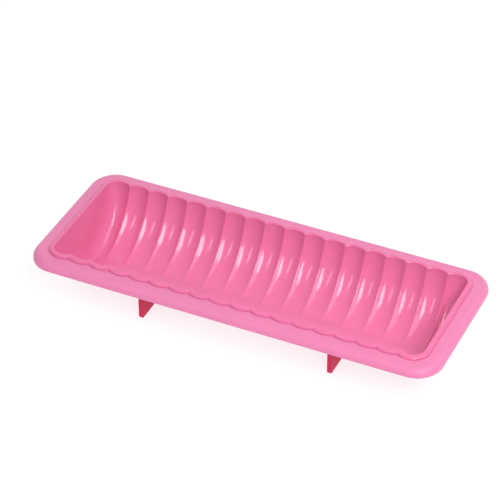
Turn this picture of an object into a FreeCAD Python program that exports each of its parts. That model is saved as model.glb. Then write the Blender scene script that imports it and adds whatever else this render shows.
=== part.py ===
import FreeCAD, Part
import math
import os

# Fluted loaf mould, moulded in one piece from silicone rubber.
# X runs along the trough, Y across it, Z up. The origin is under the middle of
# the trough, on the surface that the two foot plates stand on.

# ---- driving dimensions, millimetres ----
FLUTE_PITCH = 15.0          # distance from one ridge to the next
FULL_FLUTES = 16            # flutes with a ridge on both sides; each end adds one more
WALL = 2.1                  # thickness of the silicone

GROUND_TO_FLOOR = 3.15      # top of the trough's floor
FLANGE_TOP = 38.7
FLANGE_THICKNESS = 2.2
BEAD_TOP = 41.1
LIP_BOTTOM = 32.2

# Seen along X, the ridges of a long wall rise from the floor on a straight slope. At the
# knee the slope runs on, without a corner, into a circular arc up to the rim.
RIDGE_RADIUS = 51.1
RIDGE_CENTRE_Y = -6.8
RIDGE_CENTRE_Z = 53.9
FLOOR_SLOPE = 18.0          # degrees from level

# How far the middle of a flute lies outside the ridges.
FLUTE_DEPTH_RIM = 3.0
FLUTE_DEPTH_MIDDLE = 2.6
FLUTE_DEPTH_KNEE = 1.1
FLUTE_SPREAD_FLOOR = 2.6    # measured level, along the floor

END_CORNER = 7.5            # rounding between the last flute and the end wall
END_DRAFT = 6.0             # the end walls lean outwards, degrees
STRIP_HALF_WIDTH = 2.0      # plain floor strip between the two fluted walls

BEAD_WIDTH = 4.2
BEAD_ROUNDING = 1.1

FLANGE_LENGTH = 299.0
FLANGE_WIDTH = 118.0
FLANGE_CORNER = 19.0
LIP_ROLL = 5.0              # outer radius of the rolled edge

FOOT_X = 70.0
FOOT_THICKNESS = 3.5
FOOT_HALF_WIDTH = 40.3

# ---- sizes that follow ----
HALF_PITCH = FLUTE_PITCH / 2
LAST_RIDGE_X = FULL_FLUTES / 2 * FLUTE_PITCH
LAST_FLUTE_X = LAST_RIDGE_X + HALF_PITCH
FLANGE_UNDERSIDE = FLANGE_TOP - FLANGE_THICKNESS
FLOOR_UNDERSIDE = GROUND_TO_FLOOR - WALL
SCALLOP_RADIUS = (HALF_PITCH ** 2 + FLUTE_DEPTH_RIM ** 2) / (2 * FLUTE_DEPTH_RIM)    # of a flute, from above

X_AXIS = FreeCAD.Vector(1, 0, 0)
Y_AXIS = FreeCAD.Vector(0, 1, 0)
Z_AXIS = FreeCAD.Vector(0, 0, 1)
MIDDLE = FreeCAD.Vector(0, 0, 0)


def bulge(distance):
    """Share of the flute's depth at a distance from its middle line: 1 there, 0 at a ridge."""
    drop = SCALLOP_RADIUS - math.sqrt(SCALLOP_RADIUS ** 2 - distance ** 2)
    return 1 - drop / FLUTE_DEPTH_RIM


def ridge_point(angle, outwards):
    """Y and Z of the ridges' arc at an angle from straight down, moved outwards."""
    reach = RIDGE_RADIUS + outwards
    return RIDGE_CENTRE_Y + reach * math.sin(angle), RIDGE_CENTRE_Z - reach * math.cos(angle)


class Profile:
    """Half of the trough's cross-section: an arc down to the knee, then straight to the toe.

    share is the share of the flute's depth, and outwards is how far the profile lies
    outside the trough's inner skin.
    """

    def __init__(self, share, outwards):
        knee_angle = math.radians(FLOOR_SLOPE)
        rim_angle = math.acos((RIDGE_CENTRE_Z - FLANGE_TOP) / RIDGE_RADIUS)
        rim_y, rim_z = ridge_point(rim_angle, 0)
        middle_y, middle_z = ridge_point((knee_angle + rim_angle) / 2, FLUTE_DEPTH_MIDDLE * share)
        knee_y, knee_z = ridge_point(knee_angle, FLUTE_DEPTH_KNEE * share)
        circle = Part.Arc(FreeCAD.Vector(0, rim_y + FLUTE_DEPTH_RIM * share, rim_z),
                          FreeCAD.Vector(0, middle_y, middle_z),
                          FreeCAD.Vector(0, knee_y, knee_z)).toShape().Curve
        self.centre = circle.Center
        self.radius = circle.Radius + outwards
        to_knee = (FreeCAD.Vector(0, knee_y, knee_z) - self.centre).normalize()
        self.knee = self.centre + to_knee * self.radius
        ridge_knee_y, ridge_knee_z = ridge_point(knee_angle, 0)
        toe_y = ridge_knee_y - (ridge_knee_z - GROUND_TO_FLOOR) / math.tan(knee_angle)
        toe_y += FLUTE_SPREAD_FLOOR * share + outwards * math.tan(knee_angle / 2)
        self.toe = FreeCAD.Vector(0, toe_y, GROUND_TO_FLOOR - outwards)
        top_y = self.centre.y + math.sqrt(self.radius ** 2 - (FLANGE_TOP - self.centre.z) ** 2)
        self.top = FreeCAD.Vector(0, top_y, FLANGE_TOP)

    def downwards(self, x, side):
        """Edges from the top to the toe in the plane x, on the +Y (side 1) or -Y (side -1) wall."""
        outward = ((self.top + self.knee) * 0.5 - self.centre).normalize()
        arc = Part.Arc(placed(self.top, x, side), placed(self.centre + outward * self.radius, x, side),
                       placed(self.knee, x, side)).toShape()
        return [arc] + polyline([placed(self.knee, x, side), placed(self.toe, x, side)])


def placed(point, x, side):
    """A profile's point in the plane x, on the +Y (side 1) or -Y (side -1) wall."""
    return FreeCAD.Vector(x, side * point.y, point.z)


def polyline(points):
    return [Part.makeLine(start, end) for start, end in zip(points, points[1:])]


def trough_section(profile, x):
    """Whole cross-section of the trough, up to the flange's top."""
    back = profile.downwards(x, 1)
    front = profile.downwards(x, -1)
    floor = polyline([placed(profile.toe, x, 1), placed(profile.toe, x, -1)])
    lid = polyline([placed(profile.top, x, -1), placed(profile.top, x, 1)])
    return Part.Wire(back + floor + front[::-1] + lid)


def wall_section(share, x, side):
    """Cross-section of one fluted wall, as thick as the silicone, up to the flange's top."""
    inner = Profile(share, 0)
    outer = Profile(share, WALL)
    strip_top = FreeCAD.Vector(x, side * STRIP_HALF_WIDTH, GROUND_TO_FLOOR)
    strip_bottom = FreeCAD.Vector(x, side * STRIP_HALF_WIDTH, FLOOR_UNDERSIDE)
    foot = polyline([placed(inner.toe, x, side), strip_top, strip_bottom, placed(outer.toe, x, side)])
    lid = polyline([placed(outer.top, x, side), placed(inner.top, x, side)])
    return Part.Wire(inner.downwards(x, side) + foot + outer.downwards(x, side)[::-1] + lid)


def flute_stations(from_middle, to_middle, steps):
    """Evenly spaced distances from a flute's middle line."""
    return [from_middle + (to_middle - from_middle) * step / steps for step in range(steps + 1)]


def loft(wires):
    return Part.makeLoft(wires, True, False)


def flute_run(section, steps=4):
    """Every flute from one last flute's middle to the other: the section's lofts, one after another.

    section(share, x) gives the wire at x, where the bulge has this share.
    """
    def between(start, end, count):
        return loft([section(bulge(distance), distance) for distance in flute_stations(start, end, count)])

    whole = between(-HALF_PITCH, HALF_PITCH, steps)
    pieces = []
    for index in range(FULL_FLUTES):
        flute = whole.copy()
        flute.translate(X_AXIS * (-LAST_RIDGE_X + (index + 0.5) * FLUTE_PITCH))
        pieces.append(flute)
    right_half = between(-HALF_PITCH, 0, steps // 2)
    right_half.translate(X_AXIS * LAST_FLUTE_X)
    left_half = between(0, HALF_PITCH, steps // 2)
    left_half.translate(X_AXIS * -LAST_FLUTE_X)
    return pieces + [right_half, left_half]


def end_closure(outwards):
    """Solid of the trough's right end, from the last flute's middle outwards.

    The last flute's section shrinks over a quarter round, and leans back with the end
    wall's draft. outwards is how far the solid lies outside the trough's inner skin.
    """
    radius = END_CORNER + outwards
    wires = []
    for step in range(7):
        angle = math.radians(90 * step / 6)
        inset = radius * (1 - math.cos(angle))
        x = LAST_FLUTE_X + radius * math.sin(angle)
        wire = trough_section(Profile(1, outwards - inset), x)
        wire.rotate(FreeCAD.Vector(x, 0, FLANGE_TOP), Y_AXIS, END_DRAFT * math.sin(angle))
        wires.append(wire)
    return loft(wires)


def below_flange(shape):
    slab = Part.makeBox(400, 200, FLANGE_UNDERSIDE + 10, FreeCAD.Vector(-200, -100, -10))
    return shape.common(slab)


def fuse_all(shapes):
    return shapes[0].multiFuse(shapes[1:]).removeSplitter()


def mirrored(shape):
    return shape.mirror(MIDDLE, X_AXIS)


# ---- outlines of the rim, seen from above ----
def scallop_outline(outwards, z):
    """Outline of the trough's edge, moved outwards.

    It follows the flutes along both sides and is straight across the ends.
    """
    radius = SCALLOP_RADIUS + outwards
    corner = END_CORNER + outwards
    flute_y = Profile(1, 0).top.y + outwards
    end_x = LAST_FLUTE_X + corner
    diagonal = corner * (1 - math.sqrt(0.5))

    def scallop_y(distance):
        """Y at a distance from a flute's middle line."""
        return flute_y - radius + math.sqrt(radius ** 2 - distance ** 2)

    def arc(*places):
        """Arc through three places, each given as X and Y."""
        return Part.Arc(*[FreeCAD.Vector(x, y, z) for x, y in places]).toShape()

    def scallop(middle_x, start, end):
        """Arc of one flute between two distances from its middle line."""
        middle = (start + end) / 2
        return arc(*[(middle_x + distance, scallop_y(distance)) for distance in (start, middle, end)])

    def half_side():
        """Edges of the +Y side, from the left end to the right one."""
        edges = [arc((-end_x, flute_y - corner), (-end_x + diagonal, flute_y - diagonal),
                     (-LAST_FLUTE_X, flute_y))]
        edges.append(scallop(-LAST_FLUTE_X, 0, HALF_PITCH))
        for index in range(FULL_FLUTES):
            edges.append(scallop(-LAST_RIDGE_X + (index + 0.5) * FLUTE_PITCH, -HALF_PITCH, HALF_PITCH))
        edges.append(scallop(LAST_FLUTE_X, -HALF_PITCH, 0))
        edges.append(arc((LAST_FLUTE_X, flute_y), (end_x - diagonal, flute_y - diagonal),
                         (end_x, flute_y - corner)))
        return edges

    back = half_side()
    front = [edge.rotated(MIDDLE, Z_AXIS, 180) for edge in half_side()]
    corner_y = flute_y - corner
    right = polyline([FreeCAD.Vector(end_x, corner_y, z), FreeCAD.Vector(end_x, -corner_y, z)])
    left = polyline([FreeCAD.Vector(-end_x, -corner_y, z), FreeCAD.Vector(-end_x, corner_y, z)])
    return Part.Wire(back + right + front + left)


def rounded_block(length, width, corner, bottom, top, roll):
    block = Part.makeBox(length, width, top - bottom, FreeCAD.Vector(-length / 2, -width / 2, bottom))
    upright = [edge for edge in block.Edges if abs(edge.tangentAt(edge.FirstParameter).z) > 0.9]
    block = block.makeFillet(corner, upright)
    if roll:
        rim = [edge for edge in block.Edges
               if all(abs(vertex.Point.z - top) < 0.01 for vertex in edge.Vertexes)]
        block = block.makeFillet(roll, rim)
    return block


# ---- sub-parts ----
def fluted_wall(side):
    segments = flute_run(lambda share, x: wall_section(share, x, side))
    return below_flange(fuse_all(segments))


def floor_strip():
    return Part.makeBox(2 * LAST_FLUTE_X, 2 * STRIP_HALF_WIDTH, WALL,
                        FreeCAD.Vector(-LAST_FLUTE_X, -STRIP_HALF_WIDTH, FLOOR_UNDERSIDE))


def right_end_wall():
    return below_flange(end_closure(WALL).cut(end_closure(0)))


def cavity():
    """The space that the mould holds, up to the flange's top."""
    segments = flute_run(lambda share, x: trough_section(Profile(share, 0), x))
    right = end_closure(0)
    return fuse_all(segments + [right, mirrored(right)])


def rolled_rim():
    """Flange and lip together, still without the trough's opening."""
    outer = rounded_block(FLANGE_LENGTH, FLANGE_WIDTH, FLANGE_CORNER, LIP_BOTTOM, FLANGE_TOP, LIP_ROLL)
    thickness = FLANGE_THICKNESS
    inner = rounded_block(FLANGE_LENGTH - 2 * thickness, FLANGE_WIDTH - 2 * thickness,
                          FLANGE_CORNER - thickness, LIP_BOTTOM, FLANGE_UNDERSIDE, LIP_ROLL - thickness)
    return outer.cut(inner)


def flat_region():
    """Everything inside the line where the flat flange starts to roll over."""
    return rounded_block(FLANGE_LENGTH - 2 * LIP_ROLL, FLANGE_WIDTH - 2 * LIP_ROLL,
                         FLANGE_CORNER - LIP_ROLL, LIP_BOTTOM - 1, FLANGE_TOP + 1, 0)


def flange():
    return rolled_rim().common(flat_region()).cut(cavity())


def rolled_lip():
    return rolled_rim().cut(flat_region())


def bead_side(outwards, inwards):
    """Solid inside one side of the bead, which rounds over at the crest.

    inwards is 1 for the bead's outer side, whose crest draws in, and -1 for its inner side.
    """
    wires = [scallop_outline(outwards, FLANGE_TOP)]
    for step in range(4):
        angle = math.radians(90 * step / 3)
        inset = inwards * BEAD_ROUNDING * (1 - math.cos(angle))
        z = BEAD_TOP - BEAD_ROUNDING * (1 - math.sin(angle))
        wires.append(scallop_outline(outwards - inset, z))
    return Part.makeLoft(wires, True, True)


def bead():
    return bead_side(BEAD_WIDTH, 1).cut(bead_side(0, -1))


def right_foot():
    """Plate across the trough, cut out to the trough's underside."""
    plate = Part.makeBox(FOOT_THICKNESS, 2 * FOOT_HALF_WIDTH, FLANGE_UNDERSIDE,
                         FreeCAD.Vector(FOOT_X - FOOT_THICKNESS / 2, -FOOT_HALF_WIDTH, 0))
    sections = []
    for distance in flute_stations(-HALF_PITCH, HALF_PITCH, 4):
        sections.append(trough_section(Profile(bulge(distance), WALL), distance))
    trough = loft(sections)
    flute_index = math.floor(FOOT_X / FLUTE_PITCH)
    trough.translate(X_AXIS * (flute_index + 0.5) * FLUTE_PITCH)
    return plate.cut(trough)


def export(name, shape):
    shape.exportStep("parts/" + name + ".step")
    print(name, "valid", shape.isValid(), "solids", len(shape.Solids), "volume", round(shape.Volume, 1))


os.makedirs("parts", exist_ok=True)
end_wall = right_end_wall()
foot = right_foot()
export("flute_wall_back", fluted_wall(1))
export("flute_wall_front", fluted_wall(-1))
export("floor_strip", floor_strip())
export("end_wall_right", end_wall)
export("end_wall_left", mirrored(end_wall))
export("rim_flange", flange())
export("rim_bead", bead())
export("rolled_lip", rolled_lip())
export("foot_plate_right", foot)
export("foot_plate_left", mirrored(foot))
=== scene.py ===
import math

import bmesh
import bpy
import numpy as np
from mathutils import Matrix, Vector


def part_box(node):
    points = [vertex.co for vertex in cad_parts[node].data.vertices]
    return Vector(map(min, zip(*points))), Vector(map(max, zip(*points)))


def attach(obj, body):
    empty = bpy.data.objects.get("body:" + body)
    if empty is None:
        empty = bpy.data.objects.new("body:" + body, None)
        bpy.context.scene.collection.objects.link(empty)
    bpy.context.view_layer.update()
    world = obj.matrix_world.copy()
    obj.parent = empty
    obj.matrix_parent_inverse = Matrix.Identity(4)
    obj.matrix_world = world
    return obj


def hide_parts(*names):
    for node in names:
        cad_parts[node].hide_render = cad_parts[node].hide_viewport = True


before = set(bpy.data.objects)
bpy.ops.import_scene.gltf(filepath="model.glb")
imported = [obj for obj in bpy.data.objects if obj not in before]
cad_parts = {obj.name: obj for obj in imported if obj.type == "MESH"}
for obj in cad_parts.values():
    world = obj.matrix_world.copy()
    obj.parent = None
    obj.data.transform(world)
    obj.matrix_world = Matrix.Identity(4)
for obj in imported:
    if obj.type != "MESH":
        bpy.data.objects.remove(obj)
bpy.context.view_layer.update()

MM = 0.001

# ---------------------------------------------------------------- sizes
# Boxes of the CAD pieces give the sizes that can be read from them.
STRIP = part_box("floor_strip")
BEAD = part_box("rim_bead")
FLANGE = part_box("rim_flange")
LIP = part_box("rolled_lip")
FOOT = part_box("foot_plate_right")

RIDGES = 17
LAST_FLUTE_X = STRIP[1][0]
PITCH = 2 * LAST_FLUTE_X / RIDGES
FLOOR_TOP = STRIP[1][2]
FLOOR_UNDERSIDE = STRIP[0][2]
WALL = FLOOR_TOP - FLOOR_UNDERSIDE
FLANGE_TOP = FLANGE[1][2]
FLANGE_UNDERSIDE = FLANGE[0][2]
BEAD_TOP = BEAD[1][2]
LIP_BOTTOM = LIP[0][2]
LIP_ROLL = LIP[1][0] - FLANGE[1][0]
LIP_THICKNESS = FLANGE_TOP - FLANGE_UNDERSIDE
HALF_LENGTH = LIP[1][0]
HALF_WIDTH = LIP[1][1]
OUTER_CORNER = 19 * MM

# Seen along X, the ridges rise from the floor on a straight slope and then on an arc.
RIDGE_RADIUS = 51.1 * MM
RIDGE_CENTRE_Y = -6.8 * MM
RIDGE_CENTRE_Z = 53.9 * MM
FLOOR_SLOPE = math.radians(18)
BEYOND_FLOOR = 12 * MM              # the slope runs on inwards, so that a thickened copy reaches the floor
BEYOND_RIM = math.radians(80)       # the arc runs on past the rim, up to this angle
SLOPE_STEPS = 59
ARC_STEPS = 240
SMOOTHING_REACH = 20                # steps of the profile on each side

# Depth of the flutes outside the ridges, at shares of the way from the floor to the rim.
FLUTE_DEPTH_WAY = [0.0, 0.12, 0.35, 0.56, 0.8, 1.0]
FLUTE_DEPTH = [0.85 * MM, 1.35 * MM, 2.25 * MM, 2.7 * MM, 2.95 * MM, 3.0 * MM]
FLUTE_DEPTH_RIM = 3.0 * MM
RIDGE_ROUNDING = 0.5 * MM
# Low down, the flutes are flatter in their middles and turn up more sharply at the ridges.
FLATNESS_WAY = [0.0, 0.1, 0.5]
FLATNESS = [1.0, 0.8, 0.0]
FLAT_POWER = 3.2

LAST_RIDGE_X = LAST_FLUTE_X - PITCH / 2
END_X = LAST_FLUTE_X + 7.5 * MM
END_CORNER = 7.5 * MM
END_DRAFT = math.radians(6)
END_FILLET_RUN = 4 * MM
END_FILLET_RISE = 17 * MM
END_CORNER_GROWTH = 14 * MM         # the corners are this much wider at the floor than at the rim
END_CORNER_LIMIT = 0.98             # of the half width

# Bead: where its inner side starts, its rounded crest and its outer slope. Widths run outwards
# from the trough's edge, and heights upwards from the flange. The slope is in millimetres.
BEAD_START = (0.12 * MM, 0.5 * MM)
BEAD_CREST = 1.3 * MM
BEAD_ROLL = 0.95 * MM
BEAD_SLOPE = [(1.8, 2.36), (2.4, 2.26), (3.0, 2.08), (3.5, 1.82), (3.8, 1.52), (4.0, 1.15),
              (4.1, 0.75), (4.16, 0.35), (4.2, 0.0)]

# Foot plates: how they sit on the flutes' underside and how far their edges are softened.
FOOT_FLUTE_PLACE = PITCH / 5        # from the flute's middle
FOOT_SEAT = 0.6                     # share of the wall's thickness that a plate reaches into
FOOT_WEB = 1.6 * MM                 # least height of a plate under the middle of the trough
FOOT_STEPS = 40
FOOT_EDGE = 0.35 * MM
FOOT_EDGE_ANGLE = math.radians(50)

# Fineness of the grid.
COLUMNS_PER_FLUTE = 16
COLUMN_CROWDING = 0.75              # 0 spaces a flute's columns evenly; nearer 1 crowds them at its ridges
CORNER_COLUMNS = 10
END_COLUMNS = 24
WALL_LEVELS = 34
FIRST_LEVEL = 0.006                 # share of the way up the wall, close above the floor
LIP_STEPS = 8
EDGE_STEPS = 6
# Where rings lie on the way from one border to another. Rings close to a border hold its shading there.
FLOOR_SHARES = [0, 0.5, 0.9, 1]
FLANGE_SHARES = [0, 0.04, 0.35, 0.7, 0.97, 1]
UNDERSIDE_SHARES = [0, 0.03, 0.5, 0.97, 1]

CREASE = 0.8                        # cosine; a skin normal further than this from its face isn't used
MERGE_DIGITS = 7                    # points that agree to this many decimals of a metre are one point


# ---------------------------------------------------------------- shape of the walls
SCALLOP_RADIUS = ((PITCH / 2) ** 2 + FLUTE_DEPTH_RIM ** 2) / (2 * FLUTE_DEPTH_RIM)


def scallop_drop(from_middle, outwards=0.0):
    """How far a flute's outline has drawn in at a distance from its middle, seen from above."""
    radius = SCALLOP_RADIUS + outwards
    return radius - math.sqrt(radius ** 2 - from_middle ** 2)


def smoothed(values):
    """Values along the profile, averaged with their neighbours."""
    window = np.hanning(2 * SMOOTHING_REACH + 1)
    return np.convolve(np.pad(values, SMOOTHING_REACH, mode="edge"), window / window.sum(), mode="valid")


def ridge_path():
    """Points, outward normals, flute depths, flatness and lengths along the ridges' profile."""
    knee_y = RIDGE_CENTRE_Y + RIDGE_RADIUS * math.sin(FLOOR_SLOPE)
    knee_z = RIDGE_CENTRE_Z - RIDGE_RADIUS * math.cos(FLOOR_SLOPE)
    toe_y = knee_y - (knee_z - FLOOR_TOP) / math.tan(FLOOR_SLOPE) - BEYOND_FLOOR
    toe = np.array([toe_y, FLOOR_TOP - BEYOND_FLOOR * math.tan(FLOOR_SLOPE)])
    line = np.linspace(0, 1, SLOPE_STEPS + 1)[:-1, None]
    slope_points = toe + line * (np.array([knee_y, knee_z]) - toe)
    slope_normals = np.repeat([[math.sin(FLOOR_SLOPE), -math.cos(FLOOR_SLOPE)]], len(line), axis=0)
    angles = np.linspace(FLOOR_SLOPE, BEYOND_RIM, ARC_STEPS)
    arc_normals = np.stack([np.sin(angles), -np.cos(angles)], axis=1)
    arc_points = np.array([RIDGE_CENTRE_Y, RIDGE_CENTRE_Z]) + RIDGE_RADIUS * arc_normals
    points = np.concatenate([slope_points, arc_points])
    normals = np.concatenate([slope_normals, arc_normals])
    lengths = np.concatenate([[0], np.cumsum(np.linalg.norm(np.diff(points, axis=0), axis=1))])
    start, stop = np.interp([FLOOR_TOP, FLANGE_TOP], points[:, 1], lengths)
    way = (lengths - start) / (stop - start)
    depth = np.interp(way, FLUTE_DEPTH_WAY, FLUTE_DEPTH)
    flatness = np.interp(way, FLATNESS_WAY, FLATNESS)
    return points, normals, smoothed(depth), smoothed(flatness), lengths


PATH_POINTS, PATH_NORMALS, PATH_DEPTH, PATH_FLATNESS, PATH_LENGTH = ridge_path()


def wall_profile(from_middle, outwards):
    """Half widths and heights of the wall's profile at a distance from a flute's middle."""
    round_share = 1 - scallop_drop(from_middle) / FLUTE_DEPTH_RIM
    flat_share = 1 - (from_middle / (PITCH / 2)) ** FLAT_POWER
    share = round_share + (flat_share - round_share) * PATH_FLATNESS
    profile = PATH_POINTS + PATH_NORMALS * (PATH_DEPTH * share + outwards)[:, None]
    return profile[:, 0], profile[:, 1]


# ---------------------------------------------------------------- columns round the plan
class Column:
    """One profile line of the mould: on a long side, round a corner or across an end.

    along is X on a side, the angle round a corner, or -1 to 1 across an end. side_x is 1 at
    the right end and -1 at the left one. side_y is 1 at the back and -1 at the front. Each
    is 0 where it doesn't apply.
    """

    def __init__(self, kind, side_x, side_y, along):
        self.kind = kind
        self.side_x = side_x
        self.side_y = side_y
        self.along = along
        self.from_middle = 0.0
        if kind == "side":
            nearest = round(along / PITCH) * PITCH
            nearest = max(-LAST_FLUTE_X + PITCH / 2, min(LAST_FLUTE_X - PITCH / 2, nearest))
            from_ridge = math.sqrt(min(abs(along - nearest), PITCH / 2) ** 2 + RIDGE_ROUNDING ** 2)
            self.from_middle = max(PITCH / 2 - from_ridge, 0)
        self.profiles = {outwards: wall_profile(self.from_middle, outwards) for outwards in (0, WALL)}

    def half_width(self, z, outwards):
        """Half width of the trough at height z, on its inner skin or its outer one."""
        widths, heights = self.profiles[outwards]
        return float(np.interp(z, heights, widths))


def flute_positions():
    """Shares of the way along a flute, closer together near its two ridges."""
    steps = []
    for step in range(COLUMNS_PER_FLUTE):
        even = step / COLUMNS_PER_FLUTE
        steps.append(even - COLUMN_CROWDING * math.sin(2 * math.pi * even) / (2 * math.pi))
    return steps


def make_columns():
    """Columns anticlockwise, seen from above: the front side, the right end, the back, the left end."""
    stations = []
    for flute in range(RIDGES + 1):
        for step in flute_positions():
            x = -LAST_FLUTE_X - PITCH / 2 + (flute + step) * PITCH
            if -LAST_FLUTE_X - 1e-9 <= x < LAST_FLUTE_X - 1e-9:
                stations.append(x)
    stations.append(LAST_FLUTE_X)
    columns = []

    def corner(side_x, side_y, leaves_side):
        """Columns round a corner, from the long side to the end or the other way."""
        angles = [math.pi / 2 * step / CORNER_COLUMNS for step in range(1, CORNER_COLUMNS)]
        for angle in (angles if leaves_side else reversed(angles)):
            columns.append(Column("corner", side_x, side_y, angle))

    def end(side_x):
        """Columns across an end, in the direction of the whole round."""
        for step in range(END_COLUMNS + 1):
            columns.append(Column("end", side_x, 0, side_x * (2 * step / END_COLUMNS - 1)))

    for x in stations:
        columns.append(Column("side", 0, -1, x))
    corner(1, -1, True)
    end(1)
    corner(1, 1, False)
    for x in reversed(stations):
        columns.append(Column("side", 0, 1, x))
    corner(-1, 1, True)
    end(-1)
    corner(-1, -1, False)
    return columns


COLUMNS = make_columns()


def contour(z, side_y, end_x, corner_x, corner_y, still=LAST_RIDGE_X):
    """Ring of points at height z, with one point for each column.

    side_y(column) is the half width on a long side. end_x is the place of the end, and
    corner_x and corner_y are the corners' reach. Columns up to still from the middle keep
    their place, and the rest follow the end.
    """
    points = []
    start_x = end_x - corner_x
    widest = side_y(COLUMNS[0])
    for column in COLUMNS:
        if column.kind == "side":
            x = column.along
            if abs(x) > still:
                x = math.copysign(still + (abs(x) - still) * (start_x - still) / (LAST_FLUTE_X - still), x)
            points.append((x, column.side_y * side_y(column), z))
        elif column.kind == "corner":
            x = start_x + corner_x * math.sin(column.along)
            y = widest - corner_y * (1 - math.cos(column.along))
            points.append((column.side_x * x, column.side_y * y, z))
        else:
            points.append((column.side_x * end_x, column.along * (widest - corner_y), z))
    return np.array(points)


def end_reach(z, outwards):
    """How far the end wall reaches at height z."""
    floor_z = FLOOR_TOP - outwards
    height = min(max((z - floor_z) / END_FILLET_RISE, 0), 1)
    rounding = END_FILLET_RUN * (1 - math.sqrt(max(1 - (1 - height) ** 2, 0)))
    return END_X + outwards - (FLANGE_TOP - z) * math.tan(END_DRAFT) - rounding


def wall_ring(z, outwards):
    """Ring on the trough's inner skin, or outwards from it, at height z."""
    end_x = end_reach(z, outwards)
    depth = (FLANGE_TOP - z) / (FLANGE_TOP - FLOOR_TOP)
    corner_x = (end_x - LAST_RIDGE_X) / 2
    corner_y = min(END_CORNER + outwards + END_CORNER_GROWTH * depth,
                   COLUMNS[0].half_width(z, outwards) * END_CORNER_LIMIT)
    return contour(z, lambda column: column.half_width(z, outwards), end_x, corner_x, corner_y)


def wall_levels(outwards, top_z):
    """Heights of the wall's rings, from the floor up.

    They are evenly spaced along the ridges' profile, with one more close above the floor.
    """
    floor_z = FLOOR_UNDERSIDE if outwards else FLOOR_TOP
    _, heights = wall_profile(PITCH / 2, outwards)
    start, stop = np.interp([floor_z, top_z], heights, PATH_LENGTH)
    steps = [0, FIRST_LEVEL] + [step / WALL_LEVELS for step in range(1, WALL_LEVELS + 1)]
    levels = np.interp([start + (stop - start) * step for step in steps], PATH_LENGTH, heights)
    return [floor_z] + [float(level) for level in levels[1:-1]] + [top_z]


def rim_ring(outwards, z):
    """Ring that runs beside the scallops of the trough's edge, at a distance outwards from it."""
    flute_y = COLUMNS[0].half_width(FLANGE_TOP, 0) + outwards
    return contour(z, lambda column: flute_y - scallop_drop(column.from_middle, outwards),
                   END_X + outwards, END_CORNER + outwards, END_CORNER + outwards)


def plain_ring(inset, z):
    """Ring with the flange's plain outline, drawn in from the outermost edge."""
    corner = OUTER_CORNER - inset
    return contour(z, lambda column: HALF_WIDTH - inset, HALF_LENGTH - inset, corner, corner, still=0)


def spine(z):
    """Ring folded flat onto the middle line of the floor, or of its underside."""
    outwards = 0 if z == FLOOR_TOP else WALL
    reach = (end_reach(z, outwards) + LAST_RIDGE_X) / 2
    points = []
    for x, _, _ in wall_ring(z, outwards):
        points.append((max(-reach, min(reach, x)), 0.0, z))
    return np.array(points)


def blend_rings(first, second, shares):
    """Rings at shares of the way from the first ring to the second."""
    return [first * (1 - share) + second * share for share in shares]


# ---------------------------------------------------------------- the whole skin, ring by ring
def bead_profile():
    """Distance outwards and height along the bead: over its crest and down its outer slope."""
    crest_z = BEAD_TOP - BEAD_ROLL
    start_width, start_height = BEAD_START
    profile = [(start_width, FLANGE_TOP + start_height)]
    for step in range(EDGE_STEPS + 1):
        angle = math.radians(180 - 90 * step / EDGE_STEPS)
        profile.append((BEAD_CREST + BEAD_ROLL * math.cos(angle), crest_z + BEAD_ROLL * math.sin(angle)))
    for width, height in BEAD_SLOPE:
        profile.append((width * MM, FLANGE_TOP + height * MM))
    return profile


def lip_rings():
    """Rings over the lip's outer roll, round its lower edge and back up its inner side."""
    rings = []
    roll_z = FLANGE_TOP - LIP_ROLL
    for step in range(LIP_STEPS + 1):
        angle = math.pi / 2 * step / LIP_STEPS
        rings.append(plain_ring(LIP_ROLL * (1 - math.sin(angle)), roll_z + LIP_ROLL * math.cos(angle)))
    half = LIP_THICKNESS / 2
    for step in range(EDGE_STEPS + 1):
        angle = math.pi * step / EDGE_STEPS
        rings.append(plain_ring(half * (1 - math.cos(angle)), LIP_BOTTOM + half * (1 - math.sin(angle))))
    inner_roll = LIP_ROLL - LIP_THICKNESS
    for step in range(EDGE_STEPS + 1):
        angle = math.pi / 2 * step / EDGE_STEPS
        rings.append(plain_ring(LIP_THICKNESS + inner_roll * (1 - math.cos(angle)),
                                roll_z + inner_roll * math.sin(angle)))
    return rings


def make_rings():
    """Groups of rings that follow one another over the skin, from the floor round to its underside."""
    rings = {}
    rings["floor"] = blend_rings(spine(FLOOR_TOP), wall_ring(FLOOR_TOP, 0), FLOOR_SHARES)
    rings["inner"] = [wall_ring(z, 0) for z in wall_levels(0, FLANGE_TOP)]
    rings["bead"] = [rings["inner"][-1]] + [rim_ring(w, z) for w, z in bead_profile()]
    foot = rings["bead"][-1]
    flat = plain_ring(LIP_ROLL, FLANGE_TOP)
    rings["flange_top"] = blend_rings(foot, flat, FLANGE_SHARES)
    rings["lip"] = lip_rings()
    outer = [wall_ring(z, WALL) for z in wall_levels(WALL, FLANGE_UNDERSIDE)]
    rings["flange_under"] = blend_rings(rings["lip"][-1], outer[-1], UNDERSIDE_SHARES)
    rings["outer"] = outer
    rings["under_floor"] = [outer[0], spine(FLOOR_UNDERSIDE)]
    return rings


RINGS = make_rings()


def merge_key(point):
    return tuple(np.round(point, MERGE_DIGITS))


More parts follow.
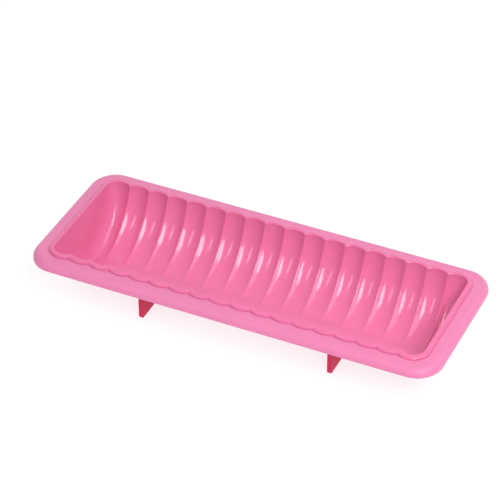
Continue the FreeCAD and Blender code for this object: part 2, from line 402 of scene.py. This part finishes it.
def skin_normals():
    """Vertex normals of the whole closed skin, so that pieces which meet shade as one surface."""
    order = RINGS["floor"][:-1] + RINGS["inner"]
    for group in ("bead", "flange_top", "lip", "flange_under"):
        order += RINGS[group][1:]
    order += RINGS["outer"][::-1][1:] + RINGS["under_floor"][1:]
    grid = np.array(order)
    along = np.roll(grid, -1, axis=1)
    faces = np.cross(along[:-1] - grid[1:], along[1:] - grid[:-1])
    normals = np.zeros_like(grid)
    normals[:-1] += faces
    normals[1:] += faces
    normals[:-1] += np.roll(faces, 1, axis=1)
    normals[1:] += np.roll(faces, 1, axis=1)
    normals /= np.maximum(np.linalg.norm(normals, axis=2, keepdims=True), 1e-12)
    # The folded rings in the floor's middle have no faces of their own to take a normal from.
    normals[0] = (0, 0, 1)
    normals[-1] = (0, 0, -1)
    # The second ring is part of the floor, so its normals have to point up.
    if normals[1, :, 2].mean() < 0:
        normals[1:-1] *= -1
    table = {}
    for ring, ring_normals in zip(order, normals):
        for point, normal in zip(ring, ring_normals):
            table[merge_key(point)] = normal
    return table


NORMALS = skin_normals()


def build_piece(name, grids, strips):
    """Closed solid from grids of skin and from strips that join their borders inside the joints.

    Each grid is an array of rings by columns by 3, and whether its rings are closed. Each
    strip is a pair of point rows, and whether they are closed.
    """
    vertices, index_of, faces = [], {}, []

    def index(point):
        key = merge_key(point)
        if key not in index_of:
            index_of[key] = len(vertices)
            vertices.append(key)
        return index_of[key]

    def add(*corners):
        """Face between the corners, leaving out those that fall together."""
        face = []
        for corner in corners:
            number = index(corner)
            if number not in face:
                face.append(number)
        if len(face) > 2:
            faces.append(face)

    for grid, closed in grids:
        rows, columns = grid.shape[:2]
        for row in range(rows - 1):
            for column in range(columns if closed else columns - 1):
                following = (column + 1) % columns
                add(grid[row, column], grid[row, following],
                    grid[row + 1, following], grid[row + 1, column])
    for first, second, closed in strips:
        count = len(first)
        for column in range(count if closed else count - 1):
            following = (column + 1) % count
            add(first[column], first[following], second[following], second[column])
    mesh = bpy.data.meshes.new(name)
    mesh.from_pydata(vertices, [], faces)
    mesh.validate()
    piece = bpy.data.objects.new(name, mesh)
    bpy.context.scene.collection.objects.link(piece)
    work = bmesh.new()
    work.from_mesh(mesh)
    bmesh.ops.recalc_face_normals(work, faces=work.faces)
    work.to_mesh(mesh)
    work.free()
    mesh.polygons.foreach_set("use_smooth", [True] * len(mesh.polygons))
    corner_normals = [None] * len(mesh.loops)
    for polygon in mesh.polygons:
        for loop_index in polygon.loop_indices:
            corner = mesh.vertices[mesh.loops[loop_index].vertex_index]
            normal = NORMALS.get(merge_key(corner.co))
            if normal is None or Vector(normal).dot(polygon.normal) < CREASE:
                normal = polygon.normal
            corner_normals[loop_index] = Vector(normal)
    mesh.normals_split_custom_set(corner_normals)
    return piece


def side_numbers(side_y):
    """Numbers of the columns of one long side."""
    return [number for number, column in enumerate(COLUMNS)
            if column.kind == "side" and column.side_y == side_y]


def end_numbers(side_x):
    """Numbers of the columns of one end, with the nearest column of each long side."""
    numbers = [number for number, column in enumerate(COLUMNS)
               if column.kind != "side" and column.side_x == side_x]
    return [numbers[0] - 1] + numbers + [(numbers[-1] + 1) % len(COLUMNS)]


def wall_piece(name, numbers):
    """Part of the trough's wall, inner and outer skin together."""
    inner = np.array(RINGS["inner"])[:, numbers]
    outer = np.array(RINGS["outer"])[:, numbers]
    strips = [(inner[0], outer[0], False), (inner[-1], outer[-1], False),
              (inner[:, 0], outer[:, 0], False), (inner[:, -1], outer[:, -1], False)]
    return build_piece(name, [(inner, False), (outer, False)], strips)


def ring_piece(name, groups):
    """Closed ring from one group of rings, or from two that face each other."""
    grids = [(np.array(RINGS[group]), True) for group in groups]
    first, last = grids[0][0], grids[-1][0]
    if len(groups) == 1:
        strips = [(first[0], first[-1], True)]
    else:
        strips = [(first[0], last[-1], True), (first[-1], last[0], True)]
    return build_piece(name, grids, strips)


def floor_piece():
    """Scalloped floor with its underside."""
    inner, outer = np.array(RINGS["floor"]), np.array(RINGS["under_floor"])
    return build_piece("floor_strip_skin", [(inner, True), (outer, True)], [(inner[-1], outer[0], True)])


def foot_piece(side_x):
    """Plate across the trough, hollowed to the trough's underside, with softened edges."""
    half_y = FOOT[1][1]
    centre_x = side_x * (FOOT[0][0] + FOOT[1][0]) / 2
    half_x = (FOOT[1][0] - FOOT[0][0]) / 2
    widths, heights = wall_profile(FOOT_FLUTE_PLACE, WALL * FOOT_SEAT)
    outline = [(-half_y, 0.0), (half_y, 0.0)]
    for step in range(FOOT_STEPS + 1):
        y = half_y * (1 - 2 * step / FOOT_STEPS)
        trough_z = float(np.interp(abs(y), widths, heights))
        outline.append((y, max(trough_z, FOOT_WEB)))
    work = bmesh.new()
    loops = []
    for x in (-half_x, half_x):
        loops.append([work.verts.new((centre_x + x, y, z)) for y, z in outline])
    work.faces.new(loops[0])
    work.faces.new(loops[1])
    for number in range(len(outline)):
        following = (number + 1) % len(outline)
        work.faces.new((loops[0][number], loops[0][following], loops[1][following], loops[1][number]))
    bmesh.ops.recalc_face_normals(work, faces=work.faces)
    name = "foot_plate_right_moulded" if side_x > 0 else "foot_plate_left_moulded"
    mesh = bpy.data.meshes.new(name)
    work.to_mesh(mesh)
    work.free()
    piece = bpy.data.objects.new(name, mesh)
    bpy.context.scene.collection.objects.link(piece)
    bevel = piece.modifiers.new("edge", "BEVEL")
    bevel.width = FOOT_EDGE
    bevel.segments = 3
    bevel.limit_method = "ANGLE"
    bevel.angle_limit = FOOT_EDGE_ANGLE
    mesh.polygons.foreach_set("use_smooth", [True] * len(mesh.polygons))
    return piece


# ---------------------------------------------------------------- materials
def silicone(name, colour, roughness, sheen, grain, gloss=0.5):
    """Pigmented silicone rubber: soft light scatter, a fine mould texture and slight unevenness.

    grain is the strength of the fine texture, and gloss that of the surface's reflection.
    """
    material = bpy.data.materials.new(name)
    material.use_nodes = True
    nodes, links = material.node_tree.nodes, material.node_tree.links
    shader = nodes["Principled BSDF"]
    place = nodes.new("ShaderNodeTexCoord")
    cloud = nodes.new("ShaderNodeTexNoise")
    cloud.inputs["Scale"].default_value = 24
    cloud.inputs["Detail"].default_value = 3
    links.new(place.outputs["Object"], cloud.inputs["Vector"])
    tint = nodes.new("ShaderNodeMix")
    tint.data_type = "RGBA"
    tint.inputs["A"].default_value = (*[c * 0.97 for c in colour], 1)
    tint.inputs["B"].default_value = (*[min(c * 1.03, 1) for c in colour], 1)
    links.new(cloud.outputs["Fac"], tint.inputs["Factor"])
    links.new(tint.outputs["Result"], shader.inputs["Base Color"])
    smear = nodes.new("ShaderNodeTexNoise")
    smear.inputs["Scale"].default_value = 90
    smear.inputs["Detail"].default_value = 4
    links.new(place.outputs["Object"], smear.inputs["Vector"])
    spread = nodes.new("ShaderNodeMapRange")
    spread.inputs["To Min"].default_value = roughness * 0.88
    spread.inputs["To Max"].default_value = roughness * 1.12
    links.new(smear.outputs["Fac"], spread.inputs["Value"])
    links.new(spread.outputs["Result"], shader.inputs["Roughness"])
    fine = nodes.new("ShaderNodeTexNoise")
    fine.inputs["Scale"].default_value = 1400
    fine.inputs["Detail"].default_value = 2
    links.new(place.outputs["Object"], fine.inputs["Vector"])
    bump = nodes.new("ShaderNodeBump")
    bump.inputs["Strength"].default_value = grain
    bump.inputs["Distance"].default_value = 0.08 * MM
    links.new(fine.outputs["Fac"], bump.inputs["Height"])
    links.new(bump.outputs["Normal"], shader.inputs["Normal"])
    shader.inputs["Subsurface Weight"].default_value = 0.15
    shader.inputs["Subsurface Radius"].default_value = (4 * MM, 1.5 * MM, 1.8 * MM)
    shader.inputs["Subsurface Scale"].default_value = 1.0
    shader.inputs["IOR"].default_value = 1.43
    shader.inputs["Specular IOR Level"].default_value = gloss
    shader.inputs["Sheen Weight"].default_value = sheen
    shader.inputs["Sheen Roughness"].default_value = 0.5
    return material


GLOSSY = silicone("silicone_glossy_pink", (0.71, 0.163, 0.333), roughness=0.15, sheen=0.0, grain=0.05)
# Painted sheen: the flange's and lip's pink is a paler, cooler copy of the trough's, standing in for
# overhead light reflected off their matte tops.
SATIN_PAINTED_SHEEN = silicone("silicone_satin_painted_sheen", (0.69, 0.19, 0.37), roughness=0.42, sheen=0.06, grain=0.25)
# Painted shade: the bead's pink is a slightly darker copy of the trough's, deepening the shade on its
# outer slope.
BEAD_SHADE_PINK = silicone("silicone_bead_painted_shade", (0.70, 0.155, 0.32), roughness=0.17, sheen=0.0, grain=0.08)
# Painted shade: the feet get a darker, redder copy of the silicone pink, standing in for the shade under
# the flange and the red light bounced into it.
FOOT_SHADE_PINK = silicone("silicone_foot_painted_shade", (0.60, 0.035, 0.10), roughness=0.5, sheen=0.0, grain=0.25,
                     gloss=0.12)


# ---------------------------------------------------------------- pieces
def finish_piece(piece, material, node):
    """Give the piece its material, and let it stand in for a CAD node."""
    piece.data.materials.append(material)
    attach(piece, "root")
    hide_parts(node)


finish_piece(wall_piece("flute_wall_front_skin", side_numbers(-1)),
             GLOSSY, "flute_wall_front")
finish_piece(wall_piece("flute_wall_back_skin", side_numbers(1)),
             GLOSSY, "flute_wall_back")
finish_piece(wall_piece("end_wall_right_skin", end_numbers(1)), GLOSSY, "end_wall_right")
finish_piece(wall_piece("end_wall_left_skin", end_numbers(-1)), GLOSSY, "end_wall_left")
finish_piece(floor_piece(), GLOSSY, "floor_strip")
finish_piece(ring_piece("rim_bead_scalloped", ["bead"]), BEAD_SHADE_PINK, "rim_bead")
finish_piece(ring_piece("rim_flange_satin", ["flange_top", "flange_under"]), SATIN_PAINTED_SHEEN, "rim_flange")
finish_piece(ring_piece("rolled_lip_soft", ["lip"]), SATIN_PAINTED_SHEEN, "rolled_lip")
finish_piece(foot_piece(1), FOOT_SHADE_PINK, "foot_plate_right")
finish_piece(foot_piece(-1), FOOT_SHADE_PINK, "foot_plate_left")


# ---------------------------------------------------------------- camera
def make_camera():
    """Camera to the front right of the mould and above it, with a long lens."""
    azimuth, elevation, roll = math.radians(25.036), math.radians(37.185), math.radians(-0.151)
    focal_widths = 4.7624               # focal length in widths of the picture
    distance, shift_right, shift_up = 1608.57 * MM, 5.94 * MM, -14.475 * MM
    aim = Vector((0, 0, 40.65 * MM))
    back = Vector((math.sin(azimuth) * math.cos(elevation), -math.cos(azimuth) * math.cos(elevation),
                   math.sin(elevation)))
    right = Vector((math.cos(azimuth), math.sin(azimuth), 0))
    up = back.cross(right)
    turned_right = math.cos(roll) * right + math.sin(roll) * up
    turned_up = -math.sin(roll) * right + math.cos(roll) * up
    place = aim + back * distance - turned_right * shift_right - turned_up * shift_up
    data = bpy.data.cameras.new("camera")
    data.sensor_width = 36
    data.lens = focal_widths * data.sensor_width
    data.clip_start = 0.05
    data.clip_end = 50
    camera = bpy.data.objects.new("camera", data)
    camera.matrix_world = Matrix(((turned_right.x, turned_up.x, back.x, place.x),
                                  (turned_right.y, turned_up.y, back.y, place.y),
                                  (turned_right.z, turned_up.z, back.z, place.z),
                                  (0, 0, 0, 1)))
    bpy.context.scene.collection.objects.link(camera)
    bpy.context.scene.camera = camera


# ---------------------------------------------------------------- studio
def make_floor():
    """Floor with some light of its own, so that it stays nearly white under the mould."""
    mesh = bpy.data.meshes.new("studio_floor")
    reach = 6
    corners = [(-reach, -reach, 0), (reach, -reach, 0), (reach, reach, 0), (-reach, reach, 0)]
    mesh.from_pydata(corners, [], [(0, 1, 2, 3)])
    floor = bpy.data.objects.new("studio_floor", mesh)
    bpy.context.scene.collection.objects.link(floor)
    material = bpy.data.materials.new("studio_white")
    material.use_nodes = True
    shader = material.node_tree.nodes["Principled BSDF"]
    shader.inputs["Base Color"].default_value = (0.28, 0.28, 0.28, 1)
    shader.inputs["Emission Color"].default_value = (1, 1, 1, 1)
    shader.inputs["Emission Strength"].default_value = 0.78
    shader.inputs["Roughness"].default_value = 0.9
    mesh.materials.append(material)


def softbox(name, azimuth, elevation, distance, width, height, power):
    """Elliptical light aimed at the mould's middle, in degrees, metres and watts.

    Azimuth 0 is straight in front of the mould, and 90 is at its right end.
    """
    azimuth, elevation = math.radians(azimuth), math.radians(elevation)
    place = Vector((distance * math.sin(azimuth) * math.cos(elevation),
                    -distance * math.cos(azimuth) * math.cos(elevation),
                    distance * math.sin(elevation)))
    middle = Vector((0, 0, 20 * MM))
    data = bpy.data.lights.new(name, "AREA")
    data.shape = "ELLIPSE"
    data.size = width
    data.size_y = height
    data.energy = power
    lamp = bpy.data.objects.new(name, data)
    lamp.location = place
    lamp.rotation_euler = (middle - place).to_track_quat("-Z", "Y").to_euler()
    bpy.context.scene.collection.objects.link(lamp)


def make_world():
    """Soft surroundings: a little lighter overhead, and lightest behind the mould and to its left."""
    world = bpy.data.worlds.new("studio")
    world.use_nodes = True
    nodes, links = world.node_tree.nodes, world.node_tree.links
    place = nodes.new("ShaderNodeTexCoord")
    upwards = nodes.new("ShaderNodeSeparateXYZ")
    links.new(place.outputs["Generated"], upwards.inputs["Vector"])
    ceiling = nodes.new("ShaderNodeMapRange")
    ceiling.inputs["From Min"].default_value = 0.0
    ceiling.inputs["From Max"].default_value = 1.0
    ceiling.inputs["To Min"].default_value = 0.24
    ceiling.inputs["To Max"].default_value = 0.36
    links.new(upwards.outputs["Z"], ceiling.inputs["Value"])
    backwards = nodes.new("ShaderNodeVectorMath")
    backwards.operation = "DOT_PRODUCT"
    backwards.inputs[1].default_value = (-0.3, 0.954, 0.0)
    links.new(place.outputs["Generated"], backwards.inputs[0])
    backdrop = nodes.new("ShaderNodeMapRange")
    backdrop.inputs["From Min"].default_value = 0.1
    backdrop.inputs["From Max"].default_value = 0.9
    backdrop.inputs["To Min"].default_value = 0.0
    backdrop.inputs["To Max"].default_value = 0.8
    links.new(backwards.outputs["Value"], backdrop.inputs["Value"])
    strength = nodes.new("ShaderNodeMath")
    strength.operation = "ADD"
    links.new(ceiling.outputs["Result"], strength.inputs[0])
    links.new(backdrop.outputs["Result"], strength.inputs[1])
    links.new(strength.outputs["Value"], nodes["Background"].inputs["Strength"])
    nodes["Background"].inputs["Color"].default_value = (1, 1, 1, 1)
    bpy.context.scene.world = world


make_camera()
make_floor()
make_world()
bpy.context.scene.view_settings.view_transform = "Standard"
softbox("softbox_key", azimuth=42, elevation=46, distance=1.2, width=0.34, height=0.75, power=8.4)
softbox("softbox_end", azimuth=86, elevation=56, distance=1.4, width=1.0, height=1.0, power=7.0)
softbox("softbox_left", azimuth=-33, elevation=44, distance=1.2, width=0.28, height=0.55, power=2.1)
